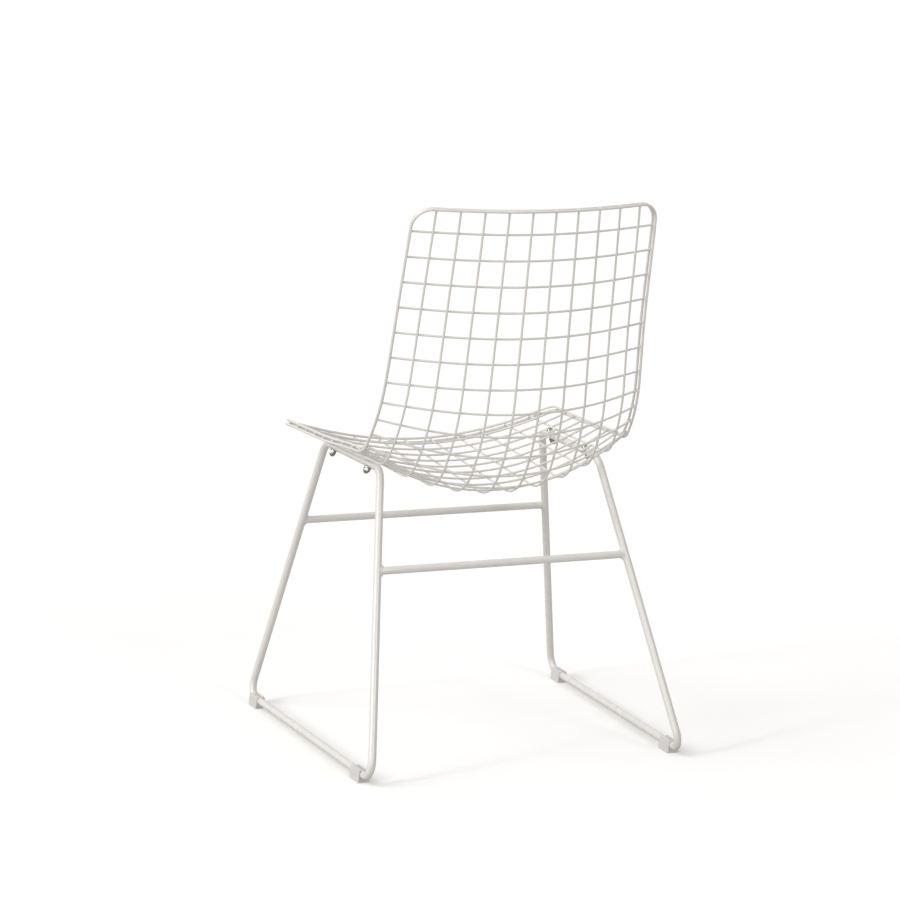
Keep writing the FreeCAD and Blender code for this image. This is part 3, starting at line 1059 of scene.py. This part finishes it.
def boltSpots():
    spots = []
    for side in (1, -1):
        for boltRow in (sled["frontBoltRow"], sled["frontBoltRow"] - sled["boltRowStep"]):
            seat, up = sideBolt(boltRow, side)
            ahead = Vector((0, -1, 0))
            ahead = (ahead - up * ahead.dot(up)).normalized()
            turn = fastener["firstTurn"] + fastener["turnStep"] * len(spots)
            twist = Matrix.Rotation(math.radians(turn), 3, up)
            spots.append((place(seat), up, twist @ ahead, 1.0))
    return spots


def makeFasteners():
    for name, shape, node in (("mountingBolts", boltShape(), "mounting_bolts"),
                              ("mountingWashers", washerShape(), "mounting_washers"),
                              ("capNuts", capNutShape(), "cap_nuts")):
        scene.collection.objects.link(shape)
        piece = runTree(name, pointMesh(name + "Points", boltSpots()), shapeOnPoints, {
            "Shape": shape, "Unevenness": 0.0, "Finish": brightPlate,
        })
        bpy.data.objects.remove(shape)
        keep(piece, [node])
    print("fasteners made")


makeFasteners()


# carried-over nodes

for nodeName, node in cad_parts.items():
    finish = glidePlastic if nodeName.startswith("glide") else powderCoat
    for materialSlot in node.material_slots:
        materialSlot.material = finish
print("plates and glides finished")


# floor, light and camera

studio = {
    "floorHalf": 30.0,
    "floorTone": (0.965, 0.96, 0.955),
    "floorRoughness": 0.9,
    "floorSpecular": 0.1,
    "bouncedTone": (0.56, 0.55, 0.54),
    "floorGlow": 0.035,     # lifts the floor's shadows a little in the picture
    "ambient": 0.59,
    "backdrop": 1.1,
    "flagDirection": (-0.55, 0.80, -0.15),
    "flagEdge": (0.35, 0.6),
    "flagTone": 0.05,
    "mirrorTone": 0.95,
    # azimuth, elevation and width in degrees, and strength
    "suns": (
        (84.0, 46.0, 40.0, 1.15),
        (102.0, 24.0, 9.0, 0.70),
        (192.0, 28.0, 9.0, 0.42),
        (138.0, 8.0, 40.0, 0.70),
    ),
    "sunTint": (1.0, 0.985, 0.96),
    "sunDistance": 4.0,
}


def makeFloor():
    # the camera sees white paper; what bounces back at the chair is dimmer, as from a darker room
    half = studio["floorHalf"]
    corners = [(-half, -half, 0), (half, -half, 0), (half, half, 0), (-half, half, 0)]
    mesh = bpy.data.meshes.new("studioFloor")
    mesh.from_pydata(corners, [], [(0, 1, 2, 3)])
    finish = bpy.data.materials.new("floorPaper")
    finish.use_nodes = True
    tree = finish.node_tree
    surface = tree.nodes["Principled BSDF"]
    surface.inputs["Base Color"].default_value = (*studio["floorTone"], 1)
    surface.inputs["Roughness"].default_value = studio["floorRoughness"]
    surface.inputs["Specular IOR Level"].default_value = studio["floorSpecular"]
    surface.inputs["Emission Color"].default_value = (1.0, 1.0, 1.0, 1)
    surface.inputs["Emission Strength"].default_value = studio["floorGlow"]
    bounced = addNode(tree, "ShaderNodeBsdfDiffuse", {"Color": (*studio["bouncedTone"], 1)})
    path = tree.nodes.new("ShaderNodeLightPath")
    mix = addNode(tree, "ShaderNodeMixShader", {0: path.outputs["Is Camera Ray"]})
    tree.links.new(bounced.outputs[0], mix.inputs[1])
    tree.links.new(surface.outputs[0], mix.inputs[2])
    tree.links.new(mix.outputs[0], tree.nodes["Material Output"].inputs["Surface"])
    mesh.materials.append(finish)
    floor = bpy.data.objects.new("studioFloor", mesh)
    scene.collection.objects.link(floor)


def makeWorld():
    # even white all round, with a dark flag beside the camera that only polished surfaces mirror
    world = bpy.data.worlds.new("studioWorld")
    scene.world = world
    world.use_nodes = True
    tree = world.node_tree
    ambient = tree.nodes["Background"]
    ambient.inputs["Color"].default_value = (1.0, 1.0, 1.0, 1)
    ambient.inputs["Strength"].default_value = studio["ambient"]
    toward = tree.nodes.new("ShaderNodeTexCoord").outputs["Generated"]
    flag = Vector(studio["flagDirection"]).normalized()
    facing = addNode(tree, "ShaderNodeVectorMath", {0: toward, 1: flag}, operation="DOT_PRODUCT")
    edgeStart, edgeEnd = studio["flagEdge"]
    shade = addNode(tree, "ShaderNodeMapRange", {
        "Value": facing.outputs["Value"], "From Min": edgeStart, "From Max": edgeEnd,
        "To Min": studio["mirrorTone"], "To Max": studio["flagTone"],
    }, interpolation_type="SMOOTHSTEP")
    polished = addNode(tree, "ShaderNodeBackground", {"Color": (1, 1, 1, 1), "Strength": shade.outputs[0]})
    seen = addNode(tree, "ShaderNodeBackground", {"Color": (1, 1, 1, 1), "Strength": studio["backdrop"]})
    path = tree.nodes.new("ShaderNodeLightPath")
    glossy = addNode(tree, "ShaderNodeMixShader", {0: path.outputs["Is Glossy Ray"]})
    tree.links.new(ambient.outputs[0], glossy.inputs[1])
    tree.links.new(polished.outputs[0], glossy.inputs[2])
    whole = addNode(tree, "ShaderNodeMixShader", {0: path.outputs["Is Camera Ray"]})
    tree.links.new(glossy.outputs[0], whole.inputs[1])
    tree.links.new(seen.outputs[0], whole.inputs[2])
    tree.links.new(whole.outputs[0], tree.nodes["World Output"].inputs["Surface"])


def direction(azimuth, elevation):
    azimuth = math.radians(azimuth)
    elevation = math.radians(elevation)
    return Vector((math.sin(azimuth) * math.cos(elevation), -math.cos(azimuth) * math.cos(elevation),
                   math.sin(elevation)))


def makeSuns():
    for i, (azimuth, elevation, width, strength) in enumerate(studio["suns"]):
        lamp = bpy.data.lights.new("softLight%d" % (i + 1), "SUN")
        lamp.energy = strength
        lamp.angle = math.radians(width)
        lamp.color = studio["sunTint"]
        holder = bpy.data.objects.new(lamp.name, lamp)
        scene.collection.objects.link(holder)
        away = direction(azimuth, elevation)
        holder.location = away * studio["sunDistance"]
        holder.rotation_euler = away.to_track_quat("Z", "Y").to_euler()


view = {
    "azimuth": 160.017,
    "elevation": 8.693,
    "distance": 4.2924,
    "aside": 0.06027,
    "height": 0.4683,
    "lens": 112.0,
    "sensor": 36.0,
    "clipEnd": 100.0,
    "pixelShift": (-0.5, 0.5),
    "pixels": 900,
}


def makeCamera():
    # the photograph's viewpoint: behind the chair, a little to its left and slightly above
    back = direction(view["azimuth"], view["elevation"])
    target = Vector((view["aside"], shift * millimetre, view["height"]))
    camera = bpy.data.cameras.new("photoCamera")
    camera.sensor_width = view["sensor"]
    camera.lens = view["lens"]
    camera.shift_x = view["pixelShift"][0] / view["pixels"]
    camera.shift_y = view["pixelShift"][1] / view["pixels"]
    camera.clip_end = view["clipEnd"]
    holder = bpy.data.objects.new("photoCamera", camera)
    scene.collection.objects.link(holder)
    holder.location = target + back * view["distance"]
    holder.rotation_euler = back.to_track_quat("Z", "Y").to_euler()
    scene.camera = holder


makeFloor()
makeWorld()
makeSuns()
makeCamera()
scene.view_settings.view_transform = "Standard"
scene.view_settings.look = "None"
print("floor, light and camera ready")
